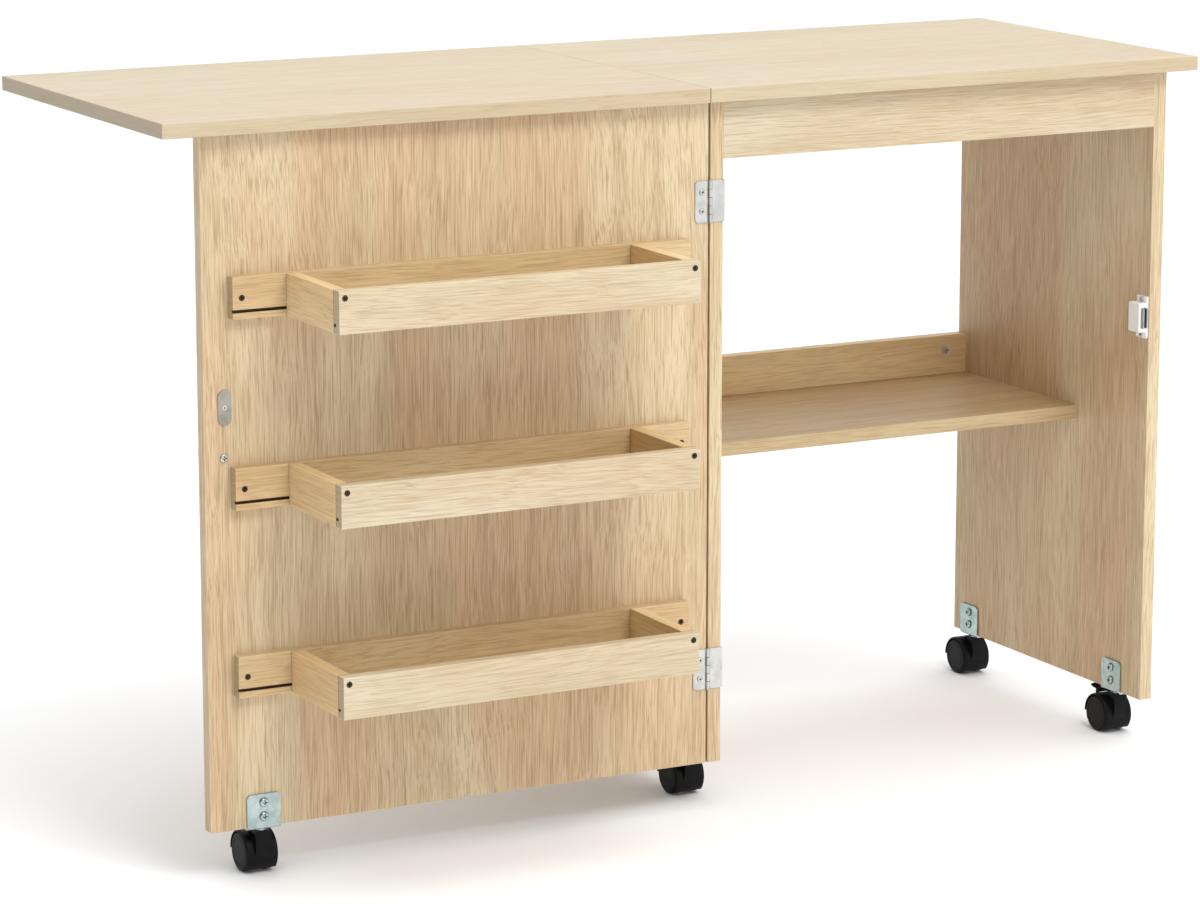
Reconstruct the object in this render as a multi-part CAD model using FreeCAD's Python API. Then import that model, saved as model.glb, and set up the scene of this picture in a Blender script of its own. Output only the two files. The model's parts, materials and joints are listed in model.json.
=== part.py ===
import FreeCAD, Part
import math
import os

# Sewing table: a fixed top on a narrow cabinet, a leaf that lies beside it on the
# opened door, three trays on the door, and five twin-wheel castors.
# Millimetres, +Z up.  X runs along the table, -Y is the side that the door opens on.
# The origin is on the floor, below the centre of the open table.

V = FreeCAD.Vector
X_AXIS = V(1, 0, 0)
Y_AXIS = V(0, 1, 0)
Z_AXIS = V(0, 0, 1)

# ---- driving dimensions -------------------------------------------------------
table_length = 1194.0        # leaf and fixed top together
table_depth = 432.0
table_height = 762.0
board = 15.0                 # thickness of every laminated board
butt_gap = 0.6               # between the leaf and the fixed top
edge_soft = 0.6              # rounding of board edges

cabinet_width = 560.0
cabinet_left = 11.0          # outer face of the left side panel
panel_depth = 383.0
panel_bottom = 50.5
door_setback = 20.0          # panel fronts behind the front edge of the top
rail_height = 61.0
low_rail_height = 45.0
shelf_top = 358.0
shelf_recess = 138.0         # shelf front behind the panel fronts

door_right = 8.6             # hinge edge of the opened door
door_top_gap = 2.0           # below the leaf
pivot_x = 9.8
pivot_out = 2.0              # hinge axis in front of the panel fronts

tray_board = 12.5
tray_height = 42.0
tray_reach = 136.0           # from the door face to the face of the tray front
tray_width = 392.0
strip_length = 505.0
tray_bottoms = (188.0, 377.0, 566.0)
tray_names = ("lower", "middle", "upper")
tray_floor = 3.0
tray_floor_rise = 6.4        # groove above the tray's lower edge
groove_depth = 5.0
groove_slack = 0.1

hinge_height = 43.0
hinge_inset = 101.5          # hinge centres from the door's top and bottom edges
hinge_leaf = 1.2
knuckle_r = 2.0
hinge_pin_r = 1.0
running = 0.05               # radial clearance of pins that turn

wheel_r = 20.0
wheel_width = 11.5
web_width = 10.0
hood_r = 22.6
hood_flat = 25.5             # flat top of the hood above the axle
trail = 17.0
stem_r = 3.0
axle_r = 2.5
bracket_width = 36.0
bracket_height = 34.0
bracket_sheet = 2.0
bracket_corner = 5.0
front_castor_in = 55.0       # castor stems from the panels' front edges
rear_castor_in = 35.0        # and from their back edges
door_castor_in = 56.5        # from the free edge of the door

# ---- derived places -------------------------------------------------------------
top_front = -(table_depth - tray_reach + door_setback) / 2.0
top_back = top_front + table_depth
front = top_front + door_setback                 # plane of the panel fronts
back = front + panel_depth
under = table_height - board                     # underside of the top
cabinet_right = cabinet_left + cabinet_width
inner_left = cabinet_left + board
inner_right = cabinet_right - board
door_left = door_right - cabinet_width
door_top = under - door_top_gap
door_middle = (door_left + door_right) / 2.0
pivot_y = front - pivot_out
hinge_centres = (panel_bottom + hinge_inset, door_top - hinge_inset)
wheel_gap = 0.4

os.makedirs("parts", exist_ok=True)


# ---- helpers ---------------------------------------------------------------------
def box(x0, x1, y0, y1, z0, z1):
    return Part.makeBox(x1 - x0, y1 - y0, z1 - z0, V(x0, y0, z0))


def rod(radius, length, start, direction):
    return Part.makeCylinder(radius, length, V(*start), direction)


def soften(shape, radius, keep=lambda edge: True):
    """Round the edges that keep() accepts."""
    edges = [edge for edge in shape.Edges if keep(edge)]
    return shape.makeFillet(radius, edges)


def cut_all(shape, tools):
    for tool in tools:
        shape = shape.cut(tool)
    return shape


def save(name, shapes):
    """Write one node: a single solid, or a group of separate solids."""
    if not isinstance(shapes, (list, tuple)):
        shapes = [shapes]
    solids = []
    for shape in shapes:
        solids.extend(shape.removeSplitter().Solids)
    for solid in solids:
        if not solid.isValid():
            raise ValueError("bad solid in " + name)
    shape = solids[0] if len(solids) == 1 else Part.makeCompound(solids)
    shape.exportStep("parts/" + name + ".step")


def laminated_board(x0, x1, y0, y1, z0, z1):
    return soften(box(x0, x1, y0, y1, z0, z1), edge_soft)


def screw(head_point, inward, head_r=3.6, head_height=1.6, shank_r=1.6, length=14.0):
    """Pan-head screw with a cross recess.  head_point is under the head, on the surface."""
    point = V(*head_point)
    outward = inward.negative()
    head = Part.makeCylinder(head_r, head_height, point, outward)
    rim = [edge for edge in head.Edges if edge.Curve.TypeId == "Part::GeomCircle"]
    top_rim = max(rim, key=lambda edge: (edge.Curve.Center - point).dot(outward))
    head = head.makeFillet(head_height * 0.6, [top_rim])
    shank = Part.makeCylinder(shank_r, length, point, inward)
    return cross_recess(head.fuse(shank), point + outward * head_height, inward, head_r)


def countersunk(head_point, inward, head_r=3.2, shank_r=1.5, length=30.0, sunk=0.6):
    """Countersunk screw whose flat head lies a little below the surface at head_point."""
    start = V(*head_point) + inward * sunk
    cone_height = head_r - shank_r
    cone = Part.makeCone(head_r, shank_r, cone_height, start, inward)
    shank = Part.makeCylinder(shank_r, length, start, inward)
    return cross_recess(cone.fuse(shank), start, inward, head_r)


# a cross slot, as shares of the head's radius
slot_half_length = 0.55
slot_half_width = 0.16
slot_deep = 0.32


def cross_recess(shape, point, inward, head_r):
    """Cut a cross slot that suits a head of this radius, at point."""
    side = Z_AXIS if abs(inward.z) < 0.5 else X_AXIS
    other = inward.cross(side)
    slot_depth = head_r * slot_deep
    half_length = head_r * slot_half_length
    half_width = head_r * slot_half_width
    for along, across in ((side, other), (other, side)):
        corner = point - along * half_length - across * half_width
        far = corner + along * half_length * 2.0
        outline = [corner, far, far + across * half_width * 2.0,
                   corner + across * half_width * 2.0, corner]
        slot = Part.Face(Part.makePolygon(outline)).extrude(inward * slot_depth)
        shape = shape.cut(slot)
    return shape


def screw_hole(head_point, inward, shank_r=1.6, length=14.0):
    return Part.makeCylinder(shank_r, length, V(*head_point), inward)


def sunk_hole(head_point, inward, head_r=3.2, shank_r=1.5, length=30.0, sunk=0.6):
    """Hole for a countersunk screw, with its straight mouth."""
    point = V(*head_point)
    mouth = Part.makeCylinder(head_r, sunk, point, inward)
    cone = Part.makeCone(head_r, shank_r, head_r - shank_r, point + inward * sunk, inward)
    shank = Part.makeCylinder(shank_r, length, point + inward * sunk, inward)
    return mouth.fuse(cone).fuse(shank)


# ---- connectors: a cam in each rail end, on a bolt from the side panel ---------------
cam_r = 7.5
cam_depth = 12.0
cam_in = 26.0                # cam centre from the rail's end
bolt_r = 3.0
bolt_in_panel = 10.0
bolt_in_cam = 3.0            # bolt's overlap with the cam, from the cam's rim
cam_slot_r = 5.5             # radius that sets the cam's cross slot
low_rail_cam_rise = 27.0     # cam centres of the low back rail above the shelf
shelf_cam_front = 50.0       # cam centres under the shelf from its front edge
shelf_cam_back = 60.0        # and from its back edge


def connector(cam_point, into, end_x):
    """Cam disc, bolt, and the two spaces that they fill."""
    point = V(*cam_point)
    cam = Part.makeCylinder(cam_r, cam_depth, point, into)
    cam_space = cam
    toward = 1.0 if end_x > point.x else -1.0
    centre = point + into * (board / 2.0)
    start = centre + V(toward * (cam_r - bolt_in_cam), 0, 0)
    length = abs(end_x - start.x) + bolt_in_panel
    bolt = Part.makeCylinder(bolt_r, length, start, V(toward, 0, 0))
    cam = cross_recess(cam.cut(bolt), point, into, cam_slot_r)
    return cam, bolt, cam_space


cams = []
bolts = []
cam_spaces = []
low_rail_y = back - board
low_rail_cam_z = shelf_top + low_rail_cam_rise
top_rail_mid = under - rail_height / 2.0
shelf_front = front + shelf_recess
for end_x, sign in ((inner_left, 1.0), (inner_right, -1.0)):
    cam_x = end_x + sign * cam_in
    places = [
        ((cam_x, low_rail_y, low_rail_cam_z), Y_AXIS),
        ((cam_x, low_rail_y, top_rail_mid), Y_AXIS),
        ((cam_x, front + board, top_rail_mid), Y_AXIS.negative()),
        ((cam_x, shelf_front + shelf_cam_front, shelf_top - board), Z_AXIS),
        ((cam_x, back - shelf_cam_back, shelf_top - board), Z_AXIS),
    ]
    for place, into in places:
        cam, bolt, space = connector(place, into, end_x)
        cams.append(cam)
        bolts.append(bolt)
        cam_spaces.append(space)

# ---- castor brackets and their screws ------------------------------------------------
castors = {
    "left_front": (inner_left, -1.0, front + front_castor_in),
    "right_front": (inner_right, 1.0, front + front_castor_in),
    "left_rear": (inner_left, -1.0, back - rear_castor_in),
    "right_rear": (inner_right, 1.0, back - rear_castor_in),
}
castor_stems = {}
for name, (face_x, outward, stem_y) in castors.items():
    castor_stems[name] = (face_x + outward * board / 2.0, stem_y)
door_castor_x = door_left + door_castor_in
castor_stems["door"] = (door_castor_x, front + board / 2.0)
screw_rise = (11.0, 25.5)
screw_hole_r = 1.6
flange_corner = 4.0
flange_inset = 1.0           # flange edge inside the board's outer face
bend_soft = 1.8
shank_length = 12.0


def bracket(stem_x, stem_y, face_normal):
    """Angle bracket: an upright plate on the board's inner face and a flange under it."""
    half = bracket_width / 2.0
    reach = board / 2.0
    upright = box(-half, half, -reach - bracket_sheet, -reach,
                  panel_bottom - bracket_sheet, panel_bottom + bracket_height)
    corners = [e for e in upright.Edges
               if e.BoundBox.ZMin > panel_bottom + bracket_height - 0.1 and e.BoundBox.XLength < 0.1]
    upright = upright.makeFillet(bracket_corner, corners)
    flange = box(-half, half, -reach - bracket_sheet, reach - flange_inset,
                 panel_bottom - bracket_sheet, panel_bottom)
    flange_corners = [e for e in flange.Edges
                      if e.BoundBox.YMin > reach - flange_inset - 0.1 and e.BoundBox.ZLength > 1.0]
    flange = flange.makeFillet(flange_corner, flange_corners)
    plate = upright.fuse(flange).removeSplitter()
    bend = [e for e in plate.Edges
            if abs(e.BoundBox.YMax + reach + bracket_sheet) < 0.01
            and abs(e.BoundBox.ZMax - panel_bottom + bracket_sheet) < 0.01
            and e.BoundBox.XLength > half]
    plate = plate.makeFillet(bend_soft, bend)
    plate = plate.cut(rod(stem_r, 10.0, (0, 0, panel_bottom - 5.0), Z_AXIS))
    for rise in screw_rise:
        plate = plate.cut(rod(screw_hole_r, 10.0, (0, -reach - 5.0, panel_bottom + rise), Y_AXIS))
    turn = math.degrees(math.atan2(face_normal.y, face_normal.x)) + 90.0
    plate.rotate(V(0, 0, 0), Z_AXIS, turn)
    plate.translate(V(stem_x, stem_y, 0))
    return plate


def bracket_screws(stem_x, stem_y, face_normal):
    """The two screws of one bracket, and the holes that they need in the board."""
    out = board / 2.0 + bracket_sheet
    screws = []
    holes = []
    for rise in screw_rise:
        place = (stem_x + face_normal.x * out, stem_y + face_normal.y * out, panel_bottom + rise)
        inward = face_normal.negative()
        screws.append(screw(place, inward, head_r=4.6, head_height=2.6, length=shank_length))
        holes.append(screw_hole(place, inward, length=shank_length))
    return screws, holes


stem_collar_r = 5.2
stem_collar = 2.8
stem_bottom = 24.0
flange_under_z = panel_bottom - bracket_sheet
collar_under_z = flange_under_z - stem_collar


def stem(stem_x, stem_y):
    """Riveted swivel stem with its collar under the bracket's flange."""
    shank = rod(stem_r, panel_bottom - stem_bottom, (stem_x, stem_y, stem_bottom), Z_AXIS)
    collar = rod(stem_collar_r, stem_collar, (stem_x, stem_y, collar_under_z), Z_AXIS)
    return shank.fuse(collar)


cabinet_brackets = {}
cabinet_bracket_screws = []
side_panel_holes = []
for name, (face_x, outward, stem_y) in castors.items():
    stem_x = castor_stems[name][0]
    normal = V(-outward, 0, 0)
    cabinet_brackets[name] = bracket(stem_x, stem_y, normal)
    screws, holes = bracket_screws(stem_x, stem_y, normal)
    cabinet_bracket_screws.extend(screws)
    side_panel_holes.extend(holes)

door_x, door_y = castor_stems["door"]
door_bracket = bracket(door_x, door_y, Y_AXIS.negative())
door_bracket_screws, door_holes = bracket_screws(door_x, door_y, Y_AXIS.negative())

# ---- door hinges -----------------------------------------------------------------------
knuckle_count = 5            # the door leaf has the first, third and fifth
knuckle_gap = 0.25           # left at each end of every knuckle
knuckle_root = 0.8           # plate's end inside its knuckle, from the axis
leaf_clear = 0.9             # between a leaf plate and the other leaf's knuckle
hinge_corner = 4.0
pin_head = 0.8
pin_head_in = 0.2            # pin head smaller than the knuckle
hinge_door_leaf_width = 15.8
wrap_depth = 22.0            # frame leaf along the inner face of the side panel
hinge_screw_span = 20.0


def knuckle(z0, z1):
    return rod(knuckle_r, z1 - z0, (pivot_x, pivot_y, z0), Z_AXIS)


def hinge_parts(middle):
    """Door leaf, frame leaf and pin of one hinge centred at height middle."""
    low = middle - hinge_height / 2.0
    high = middle + hinge_height / 2.0
    share = hinge_height / knuckle_count
    plate_stop = knuckle_r + leaf_clear
    outer = (front - hinge_leaf, front)
    door_plate = box(door_right - hinge_door_leaf_width, pivot_x - plate_stop, *outer, low, high)
    door_corners = [e for e in door_plate.Edges
                    if e.BoundBox.XMax < door_right - hinge_door_leaf_width + 0.1
                    and e.BoundBox.YLength > 0.5 and e.BoundBox.ZLength < 0.1]
    door_leaf = door_plate.makeFillet(hinge_corner, door_corners)
    frame_leaf = box(pivot_x + plate_stop, inner_left + hinge_leaf, *outer, low, high)
    frame_leaf = frame_leaf.fuse(box(inner_left, inner_left + hinge_leaf,
                                     front - hinge_leaf, front + wrap_depth, low, high))
    for number in range(knuckle_count):
        z0 = low + number * share + knuckle_gap
        z1 = low + (number + 1) * share - knuckle_gap
        if number % 2 == 0:
            root = box(pivot_x - plate_stop, pivot_x - knuckle_root, *outer, z0, z1)
            door_leaf = door_leaf.fuse(root).fuse(knuckle(z0, z1))
        else:
            root = box(pivot_x + knuckle_root, pivot_x + plate_stop, *outer, z0, z1)
            frame_leaf = frame_leaf.fuse(root).fuse(knuckle(z0, z1))
    pin_hole = rod(hinge_pin_r, hinge_height, (pivot_x, pivot_y, low), Z_AXIS)
    pin_space = rod(hinge_pin_r + running, hinge_height, (pivot_x, pivot_y, low), Z_AXIS)
    pin = rod(hinge_pin_r, hinge_height, (pivot_x, pivot_y, low), Z_AXIS)
    for end_z, direction in ((low, Z_AXIS.negative()), (high, Z_AXIS)):
        pin = pin.fuse(rod(knuckle_r - pin_head_in, pin_head, (pivot_x, pivot_y, end_z), direction))
    return door_leaf.cut(pin_hole), frame_leaf.cut(pin_space), pin


hinge_door_leaves = []
hinge_frame_leaves = []
hinge_pins = []
hinge_door_screws = []
hinge_frame_screws = []
for middle in hinge_centres:
    door_leaf, frame_leaf, pin = hinge_parts(middle)
    for offset in (-hinge_screw_span / 2.0, hinge_screw_span / 2.0):
        place = (door_right - hinge_door_leaf_width / 2.0, front - hinge_leaf, middle + offset)
        hinge_door_screws.append(screw(place, Y_AXIS, head_r=3.0, head_height=1.1, length=12.0))
        hole = screw_hole(place, Y_AXIS, length=12.0)
        door_leaf = door_leaf.cut(hole)
        door_holes.append(hole)
        place = (inner_left + hinge_leaf, front + wrap_depth / 2.0, middle + offset)
        inward = X_AXIS.negative()
        hinge_frame_screws.append(screw(place, inward, head_r=3.0, head_height=1.1, length=12.0))
        hole = screw_hole(place, inward, length=12.0)
        frame_leaf = frame_leaf.cut(hole)
        side_panel_holes.append(hole)
    hinge_door_leaves.append(door_leaf)
    hinge_frame_leaves.append(frame_leaf)
    hinge_pins.append(pin)

# ---- magnetic catch, strike plate and knob ----------------------------------------------
catch_middle = 478.0
catch_tall = 32.0
catch_deep = 21.0
catch_wide = 12.0
catch_back = 2.0             # housing behind the panel fronts
catch_plate_tall = 46.0
catch_plate = 2.5
catch_foot_deep = 19.0
catch_soft = 1.5
catch_screw_back = 9.0       # catch screws behind the housing's front
catch_screw_half_span = 19.5
magnet_wall = 2.5            # housing left of the magnet's space
magnet_wide = 6.0            # blades and magnet together
magnet_deep = 17.0
blade_sheet = 1.5
blade_tall = 22.0
strike_sheet = 1.2
strike_gap = 0.3
strike_in = 22.0             # strike centre from the free edge of the door
closed_face = front - 2.0 * pivot_out            # door's inner face when closed

catch_y0 = front + catch_back
catch_x0 = inner_right - catch_wide
housing = box(catch_x0, inner_right, catch_y0, catch_y0 + catch_deep,
              catch_middle - catch_tall / 2.0, catch_middle + catch_tall / 2.0)
housing = soften(housing, catch_soft, lambda e: e.BoundBox.XMin < catch_x0 + 0.01)
foot = box(inner_right - catch_plate, inner_right, catch_y0, catch_y0 + catch_foot_deep,
           catch_middle - catch_plate_tall / 2.0, catch_middle + catch_plate_tall / 2.0)
foot = soften(foot, catch_soft, lambda e: e.BoundBox.XLength > 2.0)
housing = housing.fuse(foot).removeSplitter()
magnet_left = catch_x0 + magnet_wall
magnet_right = magnet_left + magnet_wide
magnet_back = catch_y0 + magnet_deep
magnet_space = box(magnet_left, magnet_right, catch_y0 - 1.0, magnet_back,
                   catch_middle - blade_tall / 2.0, catch_middle + blade_tall / 2.0)
housing = housing.cut(magnet_space)
blade_front = closed_face + strike_sheet + strike_gap
blades = []
for x0 in (magnet_left, magnet_right - blade_sheet):
    blade = box(x0, x0 + blade_sheet, blade_front, magnet_back,
                catch_middle - blade_tall / 2.0, catch_middle + blade_tall / 2.0)
    blades.append(blade)
magnet = box(magnet_left + blade_sheet, magnet_right - blade_sheet, catch_y0 + 1.0, magnet_back,
             catch_middle - blade_tall / 2.0, catch_middle + blade_tall / 2.0)
catch_screws = []
for offset in (-catch_screw_half_span, catch_screw_half_span):
    place = (inner_right - catch_plate, catch_y0 + catch_screw_back, catch_middle + offset)
    catch_screws.append(screw(place, X_AXIS, head_r=2.7, head_height=1.4, length=12.0))
    hole = screw_hole(place, X_AXIS, length=12.0)
    housing = housing.cut(hole)
    side_panel_holes.append(hole)

strike_x = door_left + strike_in
strike_half_width = 7.0
strike_half_height = 17.5
straight = strike_half_height - strike_half_width
strike = box(strike_x - strike_half_width, strike_x + strike_half_width,
             front - strike_sheet, front, catch_middle - straight, catch_middle + straight)
for offset in (-straight, straight):
    strike = strike.fuse(rod(strike_half_width, strike_sheet,
                             (strike_x, front - strike_sheet, catch_middle + offset), Y_AXIS))
strike_head = (strike_x, front - strike_sheet, catch_middle)
strike_screw = countersunk(strike_head, Y_AXIS, head_r=2.4, shank_r=1.4, length=11.0, sunk=0.1)
strike_space = sunk_hole(strike_head, Y_AXIS, head_r=2.4, shank_r=1.4, length=11.0, sunk=0.1)
strike = strike.removeSplitter().cut(strike_space)

knob_x = door_left + 20.5
knob_z = 428.0
door_back = front + board
knob_reach = 24.0
# radius and reach of the knob's side, from its neck to the middle of its face
knob_profile = Part.BSplineCurve()
knob_profile.interpolate([V(6.0, 0, 3.0), V(5.2, 0, 8.0), V(9.5, 0, 14.0), V(13.0, 0, 19.0),
                          V(11.0, 0, 23.0), V(0, 0, knob_reach)])
knob_base = [V(0, 0, knob_reach), V(0, 0, 0), V(9.0, 0, 0), V(9.0, 0, 1.5), V(6.0, 0, 3.0)]
knob_wire = Part.Wire([knob_profile.toShape()] + Part.makePolygon(knob_base).Edges)
knob = Part.Face(knob_wire).revolve(V(0, 0, 0), Z_AXIS, 360)
knob.rotate(V(0, 0, 0), X_AXIS, -90)
knob.translate(V(knob_x, door_back, knob_z))
knob_head = (knob_x, front, knob_z)
knob_screw = screw(knob_head, Y_AXIS, head_r=4.3, head_height=2.2, shank_r=2.0, length=board + 12.0)
knob_space = screw_hole(knob_head, Y_AXIS, shank_r=2.0, length=board + 12.0)
knob = knob.cut(knob_space)
door_holes.extend([strike_space, knob_space])

# ---- trays ------------------------------------------------------------------------------
strip_left = door_middle - strip_length / 2.0
strip_right = strip_left + strip_length
box_left = door_middle - tray_width / 2.0
box_right = box_left + tray_width
strip_face = front - tray_board
tray_face = front - tray_reach
front_board_back = tray_face + tray_board
tray_screws = []
tray_edge_soft = 0.5
strip_screw_in = 9.5
front_screw_in = tray_board / 2.0
front_screw_drop = 7.0
tray_pieces = {}
for name, low in zip(tray_names, tray_bottoms):
    high = low + tray_height
    floor_low = low + tray_floor_rise
    floor_high = floor_low + tray_floor
    groove_low = floor_low - groove_slack
    groove_high = floor_high + groove_slack
    groove_box_y = (front_board_back - groove_depth, strip_face + groove_depth)
    strip = soften(box(strip_left, strip_right, strip_face, front, low, high), tray_edge_soft)
    strip = strip.cut(box(strip_left - 1.0, strip_right + 1.0,
                          strip_face - 1.0, groove_box_y[1], groove_low, groove_high))
    face_board = soften(box(box_left, box_right, tray_face, front_board_back, low, high),
                        tray_edge_soft)
    face_board = face_board.cut(box(box_left - 1.0, box_right + 1.0, groove_box_y[0],
                                    front_board_back + 1.0, groove_low, groove_high))
    ends = []
    for end_left, groove_x in ((box_left, box_left + tray_board - groove_depth),
                               (box_right - tray_board, box_right - tray_board)):
        end = box(end_left, end_left + tray_board, front_board_back, strip_face, low, high)
        long_edges = [e for e in end.Edges if e.BoundBox.YLength > tray_board]
        end = end.makeFillet(tray_edge_soft, long_edges)
        end = end.cut(box(groove_x, groove_x + groove_depth, front_board_back - 1.0,
                          strip_face + 1.0, groove_low, groove_high))
        ends.append(end)
    floor = box(box_left + tray_board - groove_depth + groove_slack,
                box_right - tray_board + groove_depth - groove_slack,
                groove_box_y[0] + groove_slack, groove_box_y[1] - groove_slack,
                floor_low, floor_high)
    for end_number, end_x in enumerate((box_left, box_right)):
        side = 1.0 if end_number == 0 else -1.0
        place = (end_x + side * front_screw_in, tray_face, high - front_screw_drop)
        tray_screws.append(countersunk(place, Y_AXIS))
        space = sunk_hole(place, Y_AXIS)
        face_board = face_board.cut(space)
        ends[end_number] = ends[end_number].cut(space)
    for end_x, side in ((strip_left, 1.0), (strip_right, -1.0)):
        place = (end_x + side * strip_screw_in, strip_face, (low + high) / 2.0)
        tray_screws.append(countersunk(place, Y_AXIS, length=22.0))
        space = sunk_hole(place, Y_AXIS, length=22.0)
        strip = strip.cut(space)
        door_holes.append(space)
    tray_pieces[name] = (strip, face_board, ends, floor)

# ---- leaf hinges: barrels let into the meeting edges ---------------------------------------
barrel_r = 5.0
barrel_deep = 12.0
barrel_places = [top_front + table_depth * share for share in (0.14, 0.5, 0.86)]
barrel_z = table_height - board / 2.0
barrels_top = []
barrels_leaf = []
half_gap = butt_gap / 2.0
for barrel_y in barrel_places:
    barrels_top.append(rod(barrel_r, barrel_deep, (half_gap, barrel_y, barrel_z), X_AXIS))
    barrels_leaf.append(rod(barrel_r, barrel_deep, (-half_gap, barrel_y, barrel_z),
                            X_AXIS.negative()))

# ---- boards --------------------------------------------------------------------------------
half_length = table_length / 2.0
top_panel = laminated_board(half_gap, half_length, top_front, top_back, under, table_height)
leaf_panel = laminated_board(-half_length, -half_gap, top_front, top_back, under, table_height)
left_panel = laminated_board(cabinet_left, inner_left, front, back, panel_bottom, under)
right_panel = laminated_board(inner_right, cabinet_right, front, back, panel_bottom, under)
door_panel = laminated_board(door_left, door_right, front, door_back, panel_bottom, door_top)


def long_x_board(y0, y1, z0, z1):
    """Board between the side panels, with softened long edges and square ends."""
    plank = box(inner_left, inner_right, y0, y1, z0, z1)
    return soften(plank, edge_soft, lambda e: e.BoundBox.XLength > 1.0)


shelf = long_x_board(shelf_front, back, shelf_top - board, shelf_top)
front_rail = long_x_board(front, front + board, under - rail_height, under)
top_back_rail = long_x_board(back - board, back, under - rail_height, under)
low_back_rail = long_x_board(back - board, back, shelf_top, shelf_top + low_rail_height)
rail_spaces = cam_spaces + bolts

save("top_panel", cut_all(top_panel, barrels_top))
save("leaf_panel", cut_all(leaf_panel, barrels_leaf))
save("left_side_panel", cut_all(left_panel, side_panel_holes + bolts))
save("right_side_panel", cut_all(right_panel, side_panel_holes + bolts))
save("shelf", cut_all(shelf, rail_spaces))
save("front_rail", cut_all(front_rail, rail_spaces))
save("top_back_rail", cut_all(top_back_rail, rail_spaces))
save("low_back_rail", cut_all(low_back_rail, rail_spaces))
save("door_panel", cut_all(door_panel, door_holes))
save("cam_locks", cams)
save("cam_bolts", bolts)
save("leaf_hinge_barrels_top", barrels_top)
save("leaf_hinge_barrels_leaf", barrels_leaf)

for name, (strip, face_board, ends, floor) in tray_pieces.items():
    save(name + "_tray_back_strip", strip)
    save(name + "_tray_front_board", face_board)
    save(name + "_tray_end_boards", ends)
    save(name + "_tray_bottom", floor)
save("tray_screws", tray_screws)

save("hinge_door_leaves", hinge_door_leaves)
save("hinge_frame_leaves", hinge_frame_leaves)
save("hinge_pins", hinge_pins)
save("hinge_door_screws", hinge_door_screws)
save("hinge_frame_screws", hinge_frame_screws)

save("catch_housing", housing)
save("catch_blades", blades)
save("catch_magnet", magnet)
save("catch_screws", catch_screws)
save("strike_plate", strike)
save("door_knob", knob)
save("knob_and_strike_screws", [knob_screw, strike_screw])

for name, shape in cabinet_brackets.items():
    save(name + "_castor_bracket", shape)
save("cabinet_bracket_screws", cabinet_bracket_screws)
save("door_castor_bracket", door_bracket)
save("door_bracket_screws", door_bracket_screws)
save("cabinet_castor_stems", [stem(*castor_stems[name]) for name in castors])
save("door_castor_stem", stem(*castor_stems["door"]))

# ---- castors: hood, brake lever, and a wheel set that turns on its axle ----------------------
hood_gap = 0.2               # bore below the stem's end
wheel_space_r = wheel_r + 0.6
total_width = 2.0 * (web_width / 2.0 + wheel_gap + wheel_width)
barrel_end = 222.0           # angle where the barrel ends in front, low down
neck_width = 17.0
neck_crown = 84.0            # angle where the neck leaves the barrel's top
neck_rear = 7.0              # flat top of the neck, measured forward of the axle
neck_front = 23.0
neck_brow = 25.2
neck_brow_rise = 14.0
neck_foot = 188.0            # angle where the neck meets the barrel's front
neck_soft = 2.5
lever_r = 2.2
lever_pin_r = 1.1
lever_width = 13.0
lever_behind_axle = 10.0
lever_axis_z = wheel_r + hood_r + 0.5
lever_length = 14.0
lever_sheet = 2.4
lever_rise = 17.0            # slope of the released lever, in degrees
lug_sheet = 2.0
lug_gap = 0.3
cap_groove_r = 14.5
cap_groove = 0.5
cap_r = 13.8
wheel_outer_soft = 3.0
wheel_inner_soft = 1.0
axle_in_wheel = 8.5
rim_soft = 2.0


def round_point(degrees, radius):
    """Point at an angle from straight back, round by the top, seen along the axle."""
    angle = math.radians(degrees)
    return V(0, radius * math.cos(angle), radius * math.sin(angle))


def barrel_outline():
    """Side view of the hood's barrel: round the axle from behind, over the top, to the front."""
    rear_low = round_point(0.0, hood_r)
    front_low = round_point(barrel_end, hood_r)
    over_top = Part.Arc(rear_low, round_point(barrel_end / 2.0, hood_r), front_low)
    return Part.Face(Part.Wire([over_top.toShape(), Part.makeLine(front_low, rear_low)]))


def neck_outline():
    """Side view of the neck that rises from the front of the barrel to the stem."""
    crown = round_point(neck_crown, hood_r - 0.5)
    flat_rear = V(0, -neck_rear, hood_flat)
    flat_front = V(0, -neck_front, hood_flat)
    foot = round_point(neck_foot, hood_r - 0.3)
    brow = Part.Arc(flat_front, V(0, -neck_brow, neck_brow_rise), foot)
    edges = [Part.makeLine(V(0, 0, 0), crown), Part.makeLine(crown, flat_rear),
             Part.makeLine(flat_rear, flat_front), brow.toShape(),
             Part.makeLine(foot, V(0, 0, 0))]
    return Part.Face(Part.Wire(edges))


def across(side_view, stem_x, axle_y, width):
    """Solid of a side view, width wide and centred on the stem."""
    side_view.translate(V(stem_x - width / 2.0, axle_y, wheel_r))
    return side_view.extrude(V(width, 0, 0))


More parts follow.
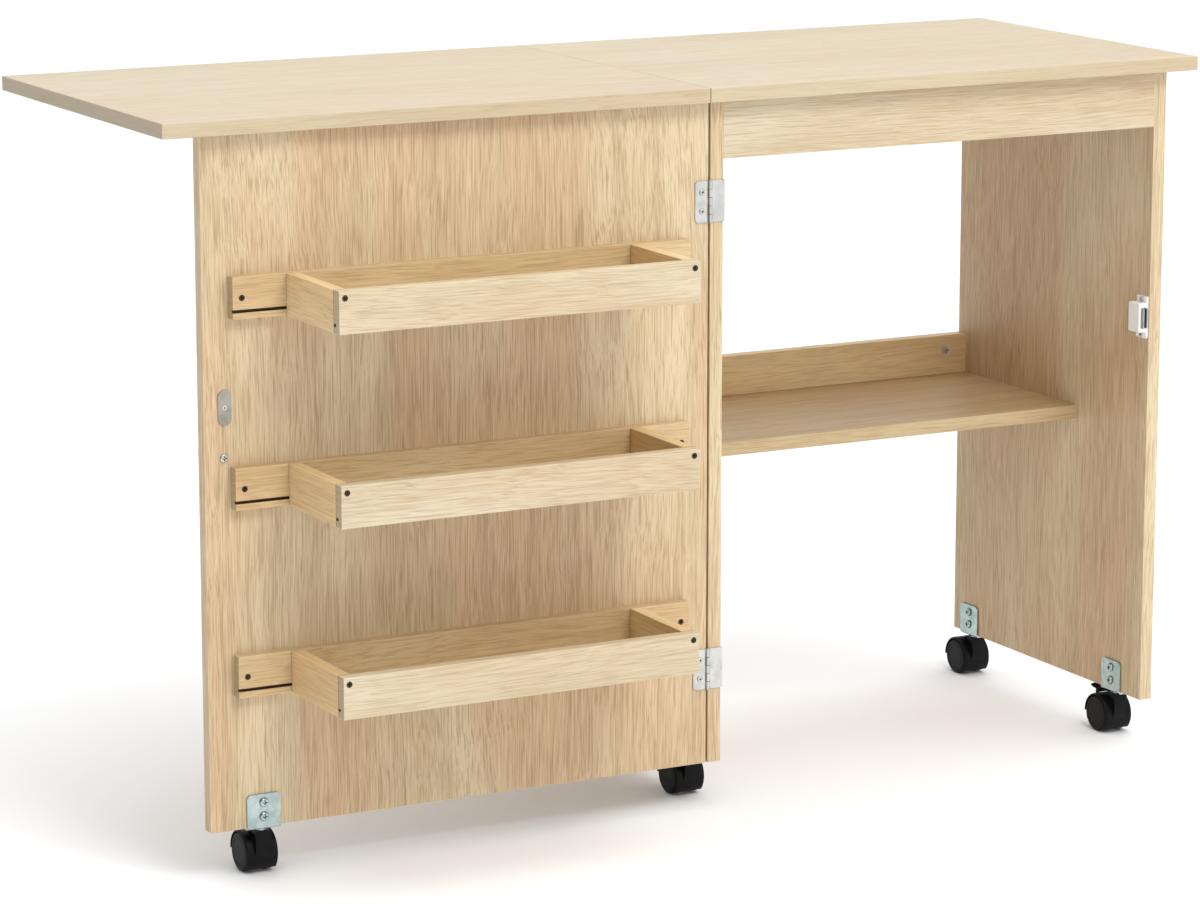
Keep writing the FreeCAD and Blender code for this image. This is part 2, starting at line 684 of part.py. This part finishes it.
def hood(stem_x, stem_y, braked):
    """Swivelling hood over the two wheels, with the web that holds the axle."""
    axle_y = stem_y + trail
    barrel = across(barrel_outline(), stem_x, axle_y, total_width)
    barrel = soften(barrel, rim_soft, lambda e: e.BoundBox.XLength < 0.01 and e.Length > 3.0 * hood_r)
    neck = across(neck_outline(), stem_x, axle_y, neck_width)
    neck = soften(neck, neck_soft, lambda e: e.BoundBox.XLength < 0.01
                  and e.CenterOfMass.z > wheel_r + hood_flat - 4.0)
    spaces = []
    for side in (-1.0, 1.0):
        inner = stem_x + side * web_width / 2.0
        far = inner + side * total_width
        spaces.append(rod(wheel_space_r, total_width, (min(inner, far), axle_y, wheel_r), X_AXIS))
    body = cut_all(barrel.fuse(neck), spaces)
    body = body.cut(rod(axle_r + running, total_width,
                        (stem_x - total_width / 2.0, axle_y, wheel_r), X_AXIS))
    body = body.cut(rod(stem_r + running, panel_bottom, (stem_x, stem_y, stem_bottom - hood_gap), Z_AXIS))
    if braked:
        body = body.fuse(lever_lugs(stem_x, axle_y))
    return body.removeSplitter()


def lever_lugs(stem_x, axle_y):
    """Two lugs on the back of the hood and the pin between them."""
    y = axle_y + lever_behind_axle
    outer = lever_width / 2.0 + lug_gap + lug_sheet
    lugs = rod(lever_pin_r, 2.0 * outer, (stem_x - outer, y, lever_axis_z), X_AXIS)
    for x0 in (stem_x - outer, stem_x + outer - lug_sheet):
        lug = box(x0, x0 + lug_sheet, y - lever_r, y + lever_r,
                  wheel_r + hood_r - 4.0, lever_axis_z)
        lugs = lugs.fuse(lug).fuse(rod(lever_r, lug_sheet, (x0, y, lever_axis_z), X_AXIS))
    return lugs.cut(rod(wheel_space_r, 80.0, (stem_x - 40.0, axle_y, wheel_r), X_AXIS))


def brake_lever(stem_x, stem_y):
    """Foot lever behind the crown of the hood, in its released position."""
    y = stem_y + trail + lever_behind_axle
    half = lever_width / 2.0
    barrel = rod(lever_r, lever_width, (stem_x - half, y, lever_axis_z), X_AXIS)
    arm = box(stem_x - half, stem_x + half, y, y + lever_length,
              lever_axis_z - lever_sheet / 2.0, lever_axis_z + lever_sheet / 2.0)
    tread = box(stem_x - half - 1.5, stem_x + half + 1.5, y + lever_length - 6.5,
                y + lever_length, lever_axis_z - lever_sheet / 2.0, lever_axis_z + lever_sheet / 2.0)
    tread = soften(tread, 0.9)
    lever = barrel.fuse(arm).fuse(tread)
    lever.rotate(V(stem_x, y, lever_axis_z), X_AXIS, lever_rise)
    return lever.cut(rod(lever_pin_r + running, 80.0, (stem_x - 40.0, y, lever_axis_z), X_AXIS))


def rim_edges(shape, x):
    """Round edges of a shape that lie in the plane at x."""
    return [e for e in shape.Edges if e.BoundBox.XLength < 0.01 and abs(e.BoundBox.XMin - x) < 0.01]


def wheel_set(stem_x, stem_y):
    """Two wheels pressed on one axle, each with a plain capped outer face."""
    axle_y = stem_y + trail
    pieces = []
    for side in (-1.0, 1.0):
        inner_x = stem_x + side * (web_width / 2.0 + wheel_gap)
        outer_x = inner_x + side * wheel_width
        wheel = rod(wheel_r, wheel_width, (min(inner_x, outer_x), axle_y, wheel_r), X_AXIS)
        wheel = wheel.makeFillet(wheel_outer_soft, rim_edges(wheel, outer_x))
        wheel = wheel.makeFillet(wheel_inner_soft, rim_edges(wheel, inner_x))
        groove_x = outer_x - cap_groove if side > 0 else outer_x
        groove = rod(cap_groove_r, cap_groove, (groove_x, axle_y, wheel_r), X_AXIS)
        cap = rod(cap_r, cap_groove, (groove_x, axle_y, wheel_r), X_AXIS)
        wheel = wheel.cut(groove.cut(cap))
        bore_x = inner_x if side > 0 else inner_x - axle_in_wheel
        wheel = wheel.cut(rod(axle_r, axle_in_wheel, (bore_x, axle_y, wheel_r), X_AXIS))
        pieces.append(wheel)
    axle_length = 2.0 * (web_width / 2.0 + wheel_gap + axle_in_wheel)
    pieces.append(rod(axle_r, axle_length, (stem_x - axle_length / 2.0, axle_y, wheel_r), X_AXIS))
    return pieces


for name, (stem_x, stem_y) in castor_stems.items():
    braked = name in ("left_front", "right_front")
    save(name + "_castor_hood", hood(stem_x, stem_y, braked))
    save(name + "_castor_wheels", wheel_set(stem_x, stem_y))
    if braked:
        save(name + "_brake_lever", brake_lever(stem_x, stem_y))
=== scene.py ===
import json
import math

import bpy
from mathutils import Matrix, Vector

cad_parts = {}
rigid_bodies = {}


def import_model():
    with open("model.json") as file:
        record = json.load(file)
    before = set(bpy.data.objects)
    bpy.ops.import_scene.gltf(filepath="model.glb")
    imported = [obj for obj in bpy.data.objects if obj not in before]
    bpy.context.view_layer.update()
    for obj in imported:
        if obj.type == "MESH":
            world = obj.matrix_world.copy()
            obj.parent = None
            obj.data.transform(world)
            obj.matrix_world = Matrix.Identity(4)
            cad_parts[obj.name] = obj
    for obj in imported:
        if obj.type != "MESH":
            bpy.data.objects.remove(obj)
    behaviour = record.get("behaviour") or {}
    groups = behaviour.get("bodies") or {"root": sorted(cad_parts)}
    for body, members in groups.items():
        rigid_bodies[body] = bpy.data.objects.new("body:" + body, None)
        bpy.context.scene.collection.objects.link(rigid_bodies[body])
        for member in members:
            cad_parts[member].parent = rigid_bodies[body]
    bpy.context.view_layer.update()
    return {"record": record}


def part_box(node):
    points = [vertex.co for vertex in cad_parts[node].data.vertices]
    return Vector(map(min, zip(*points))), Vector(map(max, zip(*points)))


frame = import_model()

SLOTS = {row["node"]: row["material_slot"] for row in frame["record"]["subparts"]}
NODES = sorted(SLOTS)


# ---- node trees ---------------------------------------------------------------------
class Tree:
    """Short calls for a material's nodes.  Every call returns an output socket."""

    def __init__(self, name):
        self.material = bpy.data.materials.new(name)
        self.material.use_nodes = True
        self.nodes = self.material.node_tree.nodes
        self.links = self.material.node_tree.links
        self.shader = self.nodes["Principled BSDF"]

    def put(self, socket, value):
        if isinstance(value, bpy.types.NodeSocket):
            self.links.new(value, socket)
        elif isinstance(value, (tuple, list)) and len(value) == 3 and len(socket.default_value) == 4:
            socket.default_value = (*value, 1.0)
        else:
            socket.default_value = value

    def set(self, **values):
        """Set the shader's sockets, with _ for a space in their names."""
        for name, value in values.items():
            self.put(self.shader.inputs[name.replace("_", " ")], value)

    def coordinates(self, kind="Object"):
        return self.nodes.new("ShaderNodeTexCoord").outputs[kind]

    def split(self, vector):
        node = self.nodes.new("ShaderNodeSeparateXYZ")
        self.put(node.inputs[0], vector)
        return node.outputs

    def join(self, x, y, z):
        node = self.nodes.new("ShaderNodeCombineXYZ")
        for socket, value in zip(node.inputs, (x, y, z)):
            self.put(socket, value)
        return node.outputs[0]

    def math(self, operation, a, b=0.0):
        node = self.nodes.new("ShaderNodeMath")
        node.operation = operation
        self.put(node.inputs[0], a)
        self.put(node.inputs[1], b)
        return node.outputs[0]

    def vector(self, operation, a, b=(0.0, 0.0, 0.0)):
        node = self.nodes.new("ShaderNodeVectorMath")
        node.operation = operation
        self.put(node.inputs[0], a)
        self.put(node.inputs[1], b)
        return node.outputs["Value" if operation in ("LENGTH", "DOT_PRODUCT") else "Vector"]

    def noise(self, vector, scale, detail=2.0, roughness=0.5, distortion=0.0):
        node = self.nodes.new("ShaderNodeTexNoise")
        self.put(node.inputs["Vector"], vector)
        node.inputs["Scale"].default_value = scale
        node.inputs["Detail"].default_value = detail
        node.inputs["Roughness"].default_value = roughness
        node.inputs["Distortion"].default_value = distortion
        return node.outputs["Fac"]

    def wave(self, vector, scale, distortion, detail=2.0, detail_scale=1.0):
        node = self.nodes.new("ShaderNodeTexWave")
        node.wave_type = "BANDS"
        node.bands_direction = "X"
        self.put(node.inputs["Vector"], vector)
        node.inputs["Scale"].default_value = scale
        node.inputs["Distortion"].default_value = distortion
        node.inputs["Detail"].default_value = detail
        node.inputs["Detail Scale"].default_value = detail_scale
        return node.outputs["Fac"]

    def remap(self, value, low, high, new_low=0.0, new_high=1.0, smooth=True):
        node = self.nodes.new("ShaderNodeMapRange")
        node.interpolation_type = "SMOOTHSTEP" if smooth else "LINEAR"
        for name, number in (("From Min", low), ("From Max", high),
                             ("To Min", new_low), ("To Max", new_high)):
            node.inputs[name].default_value = number
        self.put(node.inputs["Value"], value)
        return node.outputs["Result"]

    def mix(self, factor, a, b, blend="MIX"):
        node = self.nodes.new("ShaderNodeMix")
        node.data_type = "RGBA"
        node.blend_type = blend
        self.put(node.inputs[0], factor)
        self.put(node.inputs[6], a)
        self.put(node.inputs[7], b)
        return node.outputs[2]

    def choose(self, factor, a, b):
        """Vector a where factor is 0 and vector b where it is 1."""
        node = self.nodes.new("ShaderNodeMix")
        node.data_type = "VECTOR"
        self.put(node.inputs[0], factor)
        self.put(node.inputs[4], a)
        self.put(node.inputs[5], b)
        return node.outputs[1]

    def painted_recess_shade(self, reach):
        """1 deep in recesses and seams, and 0 in the open; metals use it for painted shade."""
        node = self.nodes.new("ShaderNodeAmbientOcclusion")
        node.samples = 8
        node.inputs["Distance"].default_value = reach
        return self.remap(node.outputs["AO"], 0.42, 0.88, 1.0, 0.0)

    def bump(self, height, distance, strength):
        node = self.nodes.new("ShaderNodeBump")
        node.inputs["Distance"].default_value = distance
        node.inputs["Strength"].default_value = strength
        self.put(node.inputs["Height"], height)
        return node.outputs["Normal"]


def colour(red, green, blue):
    """Linear colour of an sRGB colour given from 0 to 255."""
    return tuple(((c / 255 + 0.055) / 1.055) ** 2.4 for c in (red, green, blue))


# ---- light oak laminate ------------------------------------------------------------------
# scale across the grain, and how far each feature is drawn out along it
PATCHES = (13.0, 0.20)
BANDS = (70.0, 0.06)
STREAKS = (760.0, 0.020)
DASHES = (1350.0, 0.026)
RINGS = (7.0, 0.10)
WARMTH = (9.0, 0.25)
HIGHLIGHT_EDGE_WIDTH = 0.0012                      # metres in from an edge, where the board is painted lighter as a highlight
HOLE_FROM = 0.0006                      # depth where a face counts as inside a hole
HOLE_FULL = 0.0012
AXES = {"X": (1, 2, 0), "Y": (0, 2, 1), "Z": (0, 1, 2)}       # across, across, along
END_AXES = {"X": (0, 2, 1), "Y": (1, 2, 0), "Z": (1, 2, 0)}   # the same on the cut ends


def depth_in_board(t, node):
    """Signed distance of a point from each pair of a board's faces, negative inside."""
    low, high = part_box(node)
    centre = tuple((Vector(low) + Vector(high)) / 2)
    half = (Vector(high) - Vector(low)) / 2
    away = t.vector("ABSOLUTE", t.vector("SUBTRACT", t.coordinates(), centre))
    if node.endswith("end_boards"):
        # two equal boards stand at the ends of this box, so fold one onto the other
        front_low, front_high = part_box(node.replace("end_boards", "front_board"))
        board = front_high[1] - front_low[1]
        from_middle = half.x - board / 2
        away = t.vector("ABSOLUTE", t.vector("SUBTRACT", away, (from_middle, 0.0, 0.0)))
        half.x = board / 2
    return t.split(t.vector("SUBTRACT", away, tuple(half)))


def arris(t, depths, width):
    """1 on the edges of a board and 0 a width away from them."""
    x, y, z = depths
    greater = t.math("MAXIMUM", x, y)
    lesser = t.math("MINIMUM", x, y)
    second = t.math("MAXIMUM", lesser, t.math("MINIMUM", greater, z))
    return t.remap(second, -width, 0.0)


def bored(t, depths):
    """1 inside holes and grooves and 0 on a board's outer faces."""
    x, y, z = depths
    nearest = t.math("MAXIMUM", t.math("MAXIMUM", x, y), z)
    return t.remap(nearest, -HOLE_FULL, -HOLE_FROM, 1.0, 0.0)


def drawn_out(t, place, feature):
    """Coordinates squeezed along the grain, so that a feature comes out long."""
    return t.vector("MULTIPLY", place, (1.0, 1.0, feature[1]))


def oak(name, node, grain, seed, tones, figure=1.0, streak=1.0, rough=0.42):
    """Printed oak grain that runs along one axis of a board, with its edge band on the ends."""
    t = Tree(name)
    place = t.split(t.coordinates())
    normal = t.vector("ABSOLUTE", t.coordinates("Normal"))
    on_end = t.remap(t.split(normal)["XYZ".index(grain)], 0.6, 0.8)
    one, two, along = AXES[grain]
    side = t.join(place[one], place[two], place[along])
    one, two, along = END_AXES[grain]
    end = t.join(place[one], place[two], place[along])
    at = t.vector("ADD", t.choose(on_end, side, end), (seed * 1.37, seed * 0.71, seed * 2.13))

    drift = t.noise(t.vector("MULTIPLY", at, (1.0, 1.0, 0.25)), 5.0, 1.0)
    wander = t.math("MULTIPLY", t.math("SUBTRACT", drift, 0.5), 0.05)
    waver = t.noise(t.vector("MULTIPLY", at, (1.0, 1.0, 0.5)), 26.0, 1.0)
    waver = t.math("MULTIPLY", t.math("SUBTRACT", waver, 0.5), 0.0045)
    shift = t.math("ADD", wander, waver)
    flow = t.vector("ADD", at, t.join(shift, shift, 0.0))

    patches = t.noise(drawn_out(t, flow, PATCHES), PATCHES[0], 2.0, 0.5)
    bands = t.noise(drawn_out(t, flow, BANDS), BANDS[0], 2.0, 0.5)
    streaks = t.noise(drawn_out(t, flow, STREAKS), STREAKS[0], 1.0, 0.5)
    dashes = t.noise(drawn_out(t, flow, DASHES), DASHES[0], 1.0, 0.5)
    rings = t.wave(drawn_out(t, at, RINGS), RINGS[0], 6.5, 1.5, 0.7)

    light, middle, deep, pink = tones
    base = t.mix(t.remap(patches, 0.34, 0.66, 0.10, 0.90), light, middle)
    warm = t.noise(drawn_out(t, flow, WARMTH), WARMTH[0], 1.0, 0.4)
    base = t.mix(t.remap(warm, 0.42, 0.62, 0.0, 0.75 * figure), base, pink)
    base = t.mix(t.remap(bands, 0.46, 0.74, 0.0, 0.26 * figure), base, deep)
    base = t.mix(t.remap(rings, 0.60, 0.98, 0.0, 0.12 * figure), base, deep)
    base = t.mix(t.remap(streaks, 0.50, 0.68, 0.0, 0.56 * streak), base, deep)
    base = t.mix(t.remap(streaks, 0.32, 0.48, 0.50 * streak, 0.0), base, light)
    dark = tuple(c * 0.70 for c in deep)
    pore = t.remap(dashes, 0.55, 0.68, 0.0, 0.30 * streak)
    base = t.mix(pore, base, dark)
    # edge band colour on the board's ends, made darker as painted shade on these faces
    base = t.mix(t.math("MULTIPLY", on_end, 0.52), base, END_BAND_AND_SHADE)
    depths = depth_in_board(t, node)
    # painted highlight: the board's colour is made lighter along its edges, and its gloss a little
    # higher there
    wear_and_highlight = arris(t, depths, HIGHLIGHT_EDGE_WIDTH)
    base = t.mix(t.math("MULTIPLY", wear_and_highlight, 0.30), base, tuple(min(1.0, c * 1.08) for c in light))
    base = t.mix(bored(t, depths), base, RAW_CORE_AND_SHADOW)
    # painted shadow: a dark line in the raw core's colour where the end boards meet the neighbouring
    # boards
    if node.endswith("end_boards"):
        seam = t.remap(depths["XYZ".index(grain)], -0.0009, -0.0004, 0.0, 0.8)
        base = t.mix(seam, base, RAW_CORE_AND_SHADOW)

    t.set(Base_Color=base)
    gloss = t.remap(streaks, 0.2, 0.8, rough - 0.05, rough + 0.09, smooth=False)
    t.set(Roughness=t.math("SUBTRACT", gloss, t.math("MULTIPLY", wear_and_highlight, 0.08)))
    t.shader.inputs["Specular IOR Level"].default_value = 0.36
    relief = t.math("ADD", t.math("MULTIPLY", streaks, 0.6), t.math("MULTIPLY", pore, -1.2))
    t.set(Normal=t.bump(relief, 0.00018, 0.45))
    return t.material


# dark brown of the raw core inside holes and grooves, also used for the painted shadow line at the
# tray joints
RAW_CORE_AND_SHADOW = colour(84, 62, 42)
# the edge band's grey-brown, darkened to stand for shade on the end faces
END_BAND_AND_SHADE = colour(150, 138, 112)
PANEL_TONES = (colour(220, 202, 168), colour(203, 180, 143), colour(164, 137, 100),
               colour(208, 174, 138))
TOP_TONES = (colour(199, 184, 155), colour(192, 175, 145), colour(170, 148, 113),
             colour(193, 172, 139))
RAIL_TONES = (colour(216, 194, 153), colour(199, 170, 126), colour(170, 137, 94),
              colour(200, 165, 121))
# painted light: a brighter, warmer copy of the oak tones for the end boards and back rail, which sit
# in shade
SHADED_TONES = (colour(236, 213, 169), colour(218, 188, 140), colour(186, 151, 105),
                colour(219, 183, 134))
# painted shade: the shelf's copy of the oak tones is made warmer and more saturated, as its shaded
# top looks
SHELF_TONES = (colour(200, 179, 140), colour(184, 156, 115), colour(154, 124, 85),
               colour(184, 151, 110))
TRAY_TONES = (colour(213, 202, 174), colour(200, 182, 150), colour(168, 143, 107),
              colour(201, 175, 141))


# ---- metals and plastics ---------------------------------------------------------------------
RECESS_SHADE_REACH = 0.0016                  # metres that painted shade reaches out of a recess
PLASTIC_SHINE = 0.24
NYLON_SHINE = 0.14
NYLON = (0.0035, 0.0035, 0.004)
SCUFFED_NYLON = (0.022, 0.021, 0.020)


def metal(name, base, rough, mottle=0.08, brushed=(1.0, 1.0, 1.0), scale=900.0, tint=None):
    """Plated sheet or turned metal with fine brushing, mottling, dull fingerprints and painted shade
    in its recesses.
    """
    t = Tree(name)
    at = t.coordinates()
    lines = t.noise(t.vector("MULTIPLY", at, brushed), scale, 3.0, 0.6)
    cloud = t.noise(at, 90.0, 3.0, 0.6)
    smear = t.noise(at, 35.0, 2.0, 0.5)
    dull = tuple(c * (1.0 - 2.2 * mottle) for c in base)
    skin = t.mix(t.remap(cloud, 0.35, 0.7), base, dull)
    if tint is not None:
        skin = t.mix(t.remap(smear, 0.45, 0.65, 0.0, 0.6), skin, tint)
    painted_recess_shade = t.painted_recess_shade(RECESS_SHADE_REACH)
    # painted shade: the metal's colour is darkened in recesses and seams, where shade falls
    skin = t.mix(t.math("MULTIPLY", painted_recess_shade, 0.9), skin, tuple(c * 0.06 for c in base))
    gloss = t.remap(smear, 0.3, 0.7, rough - 0.06, rough + 0.10)
    t.set(Base_Color=skin, Roughness=t.math("ADD", gloss, t.math("MULTIPLY", painted_recess_shade, 0.3)))
    t.shader.inputs["Metallic"].default_value = 1.0
    t.set(Normal=t.bump(lines, 0.00006, 0.5))
    return t.material


def moulded(name, base, rough, grain=1800.0, depth=0.00005, sheen_spots=0.12,
             shine=PLASTIC_SHINE):
    """Moulded plastic with a fine spark-eroded texture and slightly uneven gloss."""
    t = Tree(name)
    at = t.coordinates()
    texture = t.noise(at, grain, 2.0, 0.5)
    cloud = t.noise(at, 60.0, 3.0, 0.55)
    lighter = tuple(min(1.0, c * (1.0 + sheen_spots)) for c in base)
    skin = t.mix(t.remap(cloud, 0.35, 0.7), base, lighter)
    t.set(Base_Color=skin, Roughness=t.remap(cloud, 0.3, 0.7, rough - 0.05, rough + 0.08))
    t.shader.inputs["Specular IOR Level"].default_value = shine
    t.set(Normal=t.bump(texture, depth, 0.5))
    return t.material


def tread(name, wheel_node):
    """Black nylon wheel, paler and rougher on its rolling face than on its sides."""
    t = Tree(name)
    low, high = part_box(wheel_node)
    centre = (Vector(low) + Vector(high)) / 2
    radius = (high[2] - low[2]) / 2
    away = t.vector("SUBTRACT", t.coordinates(), tuple(centre))
    flat = t.vector("MULTIPLY", away, (0.0, 1.0, 1.0))
    distance = t.vector("LENGTH", flat)
    rim = t.remap(distance, radius * 0.95, radius * 0.995)
    scuff = t.noise(t.coordinates(), 260.0, 4.0, 0.65)
    wear_and_highlight = t.math("MULTIPLY", rim, t.remap(scuff, 0.4, 0.7))
    t.set(Base_Color=t.mix(wear_and_highlight, NYLON, SCUFFED_NYLON),
          Roughness=t.remap(wear_and_highlight, 0.0, 1.0, 0.40, 0.72, smooth=False),
          Normal=t.bump(t.noise(t.coordinates(), 1600.0, 2.0), 0.00006, 0.5))
    t.shader.inputs["Specular IOR Level"].default_value = NYLON_SHINE
    return t.material


zinc = metal("bright_zinc", (0.52, 0.62, 0.61), 0.26, 0.12, tint=(0.36, 0.49, 0.50))
nickel = metal("satin_nickel", (0.62, 0.62, 0.59), 0.28, 0.08, brushed=(1.0, 1.0, 0.03))
strike_metal = metal("strike_steel", (0.40, 0.38, 0.33), 0.40, 0.10, brushed=(1.0, 1.0, 0.05))
blade_metal = metal("blade_steel", (0.44, 0.45, 0.46), 0.40, 0.08, brushed=(1.0, 0.05, 1.0))
cam_metal = metal("cast_zinc", (0.84, 0.81, 0.73), 0.58, 0.12, scale=400.0)
brass = metal("brushed_brass", (0.70, 0.55, 0.28), 0.36, 0.10)
black_steel = metal("black_steel", (0.10, 0.078, 0.058), 0.50, 0.16)
knob_metal = metal("knob_nickel", (0.66, 0.64, 0.60), 0.26, 0.05)
white_plastic = moulded("white_plastic", (0.86, 0.87, 0.86), 0.36, sheen_spots=0.03)
black_nylon = moulded("black_nylon", NYLON, 0.34, shine=NYLON_SHINE)
ferrite = moulded("ferrite", (0.06, 0.06, 0.06), 0.7)

BY_SLOT = {
    "black_screw": black_steel, "zinc_cast": cam_metal, "barrel_brass": brass,
    "nickel": nickel, "white_plastic": white_plastic, "blade_steel": blade_metal,
    "magnet": ferrite, "strike_steel": strike_metal, "knob_metal": knob_metal,
    "zinc_plate": zinc, "hood_nylon": black_nylon,
}
GRAIN = {"door_panel": "Z", "left_side_panel": "Z", "right_side_panel": "Z"}


def board_material(node, seed):
    slot = SLOTS[node]
    grain = GRAIN.get(node, "Y" if node.endswith("end_boards") else "X")
    if slot == "panel_laminate":
        return oak(node, node, grain, seed, PANEL_TONES)
    if slot == "top_laminate":
        return oak(node, node, grain, seed, TOP_TONES, figure=0.7, streak=0.55, rough=0.36)
    # the shelf takes the copy of the oak tones warmed as painted shade
    if node == "shelf":
        return oak(node, node, grain, seed, SHELF_TONES, figure=0.8, streak=0.7)
    if node.endswith("back_strip"):
        return oak(node, node, grain, seed, RAIL_TONES, figure=0.8, streak=0.8)
    # the end boards and back rail take the copy of the oak tones brightened for their place in shade
    if node.endswith("end_boards") or node.endswith("back_rail"):
        return oak(node, node, grain, seed, SHADED_TONES, figure=0.8, streak=0.7)
    return oak(node, node, grain, seed, TRAY_TONES, figure=0.7, streak=0.8)


for number, node in enumerate(NODES):
    slot = SLOTS[node]
    if slot in BY_SLOT:
        material = BY_SLOT[slot]
    elif slot == "wheel_nylon":
        material = tread(node, node)
    else:
        material = board_material(node, 3.0 + number)
    thing = bpy.data.objects[node]
    thing.data.materials.clear()
    thing.data.materials.append(material)


# ---- floor, light and camera -----------------------------------------------------------------
FLOOR_SIZE = 60.0
SURROUND_DIM = 0.25                     # surround's strength on the leaf's side
SURROUND_BRIGHT = 1.28
KEY_PLACE = (0.3, -2.6, 3.0)
KEY_TARGET = (0.0, 0.0, 0.4)
KEY_SIZE = (1.6, 1.2)
KEY_WATTS = 62.0
OVERHEAD_STRENGTH = 1.3
OVERHEAD_ANGLE = 60.0
LENS = 135.36
SENSOR_WIDTH = 36.0
EYE = (-2.2157, -4.1180, 1.3217)
YAW = 27.812
TILT = 11.669
EXPOSURE = -0.28


def floor():
    bpy.ops.mesh.primitive_plane_add(size=FLOOR_SIZE, location=(0, 0, 0))
    plane = bpy.context.object
    plane.name = "studio_floor"
    t = Tree("studio_floor")
    paper = t.noise(t.coordinates(), 3.0, 2.0)
    t.set(Base_Color=t.mix(t.remap(paper, 0.3, 0.7), (0.925, 0.935, 0.95), (0.945, 0.955, 0.97)))
    t.set(Roughness=0.9)
    t.shader.inputs["Specular IOR Level"].default_value = 0.1
    plane.data.materials.append(t.material)


def area_light(name, place, target, size, power):
    data = bpy.data.lights.new(name, "AREA")
    data.shape = "RECTANGLE"
    data.size, data.size_y = size
    data.energy = power
    lamp = bpy.data.objects.new(name, data)
    bpy.context.collection.objects.link(lamp)
    lamp.location = place
    lamp.rotation_euler = (Vector(target) - Vector(place)).to_track_quat("-Z", "Y").to_euler()


def studio():
    world = bpy.data.worlds.new("studio")
    bpy.context.scene.world = world
    world.use_nodes = True
    background = world.node_tree.nodes["Background"]
    background.inputs["Color"].default_value = (1.0, 1.0, 1.0, 1.0)
    # the surround is dimmer on the leaf's side, so that the faces toward it are shaded
    direction = world.node_tree.nodes.new("ShaderNodeTexCoord").outputs["Generated"]
    split = world.node_tree.nodes.new("ShaderNodeSeparateXYZ")
    ramp = world.node_tree.nodes.new("ShaderNodeMapRange")
    ramp.inputs["From Min"].default_value = -1.0
    ramp.inputs["From Max"].default_value = 0.1
    ramp.inputs["To Min"].default_value = SURROUND_DIM
    ramp.inputs["To Max"].default_value = SURROUND_BRIGHT
    world.node_tree.links.new(direction, split.inputs[0])
    world.node_tree.links.new(split.outputs["X"], ramp.inputs["Value"])
    world.node_tree.links.new(ramp.outputs["Result"], background.inputs["Strength"])
    area_light("key", KEY_PLACE, KEY_TARGET, KEY_SIZE, KEY_WATTS)
    sun = bpy.data.lights.new("overhead", "SUN")
    sun.energy = OVERHEAD_STRENGTH
    sun.angle = math.radians(OVERHEAD_ANGLE)
    bpy.context.collection.objects.link(bpy.data.objects.new("overhead", sun))


def camera():
    """From the front left and a little above, with a long lens."""
    data = bpy.data.cameras.new("camera")
    eye = bpy.data.objects.new("camera", data)
    bpy.context.collection.objects.link(eye)
    data.sensor_width = SENSOR_WIDTH
    data.lens = LENS
    yaw = math.radians(YAW)
    tilt = math.radians(TILT)
    eye.location = EYE
    eye.rotation_euler = (math.radians(90.0) - tilt, 0.0, -yaw)
    data.clip_end = 100.0
    bpy.context.scene.camera = eye


floor()
studio()
camera()
bpy.context.scene.view_settings.view_transform = "Standard"
bpy.context.scene.view_settings.look = "None"
bpy.context.scene.view_settings.exposure = EXPOSURE
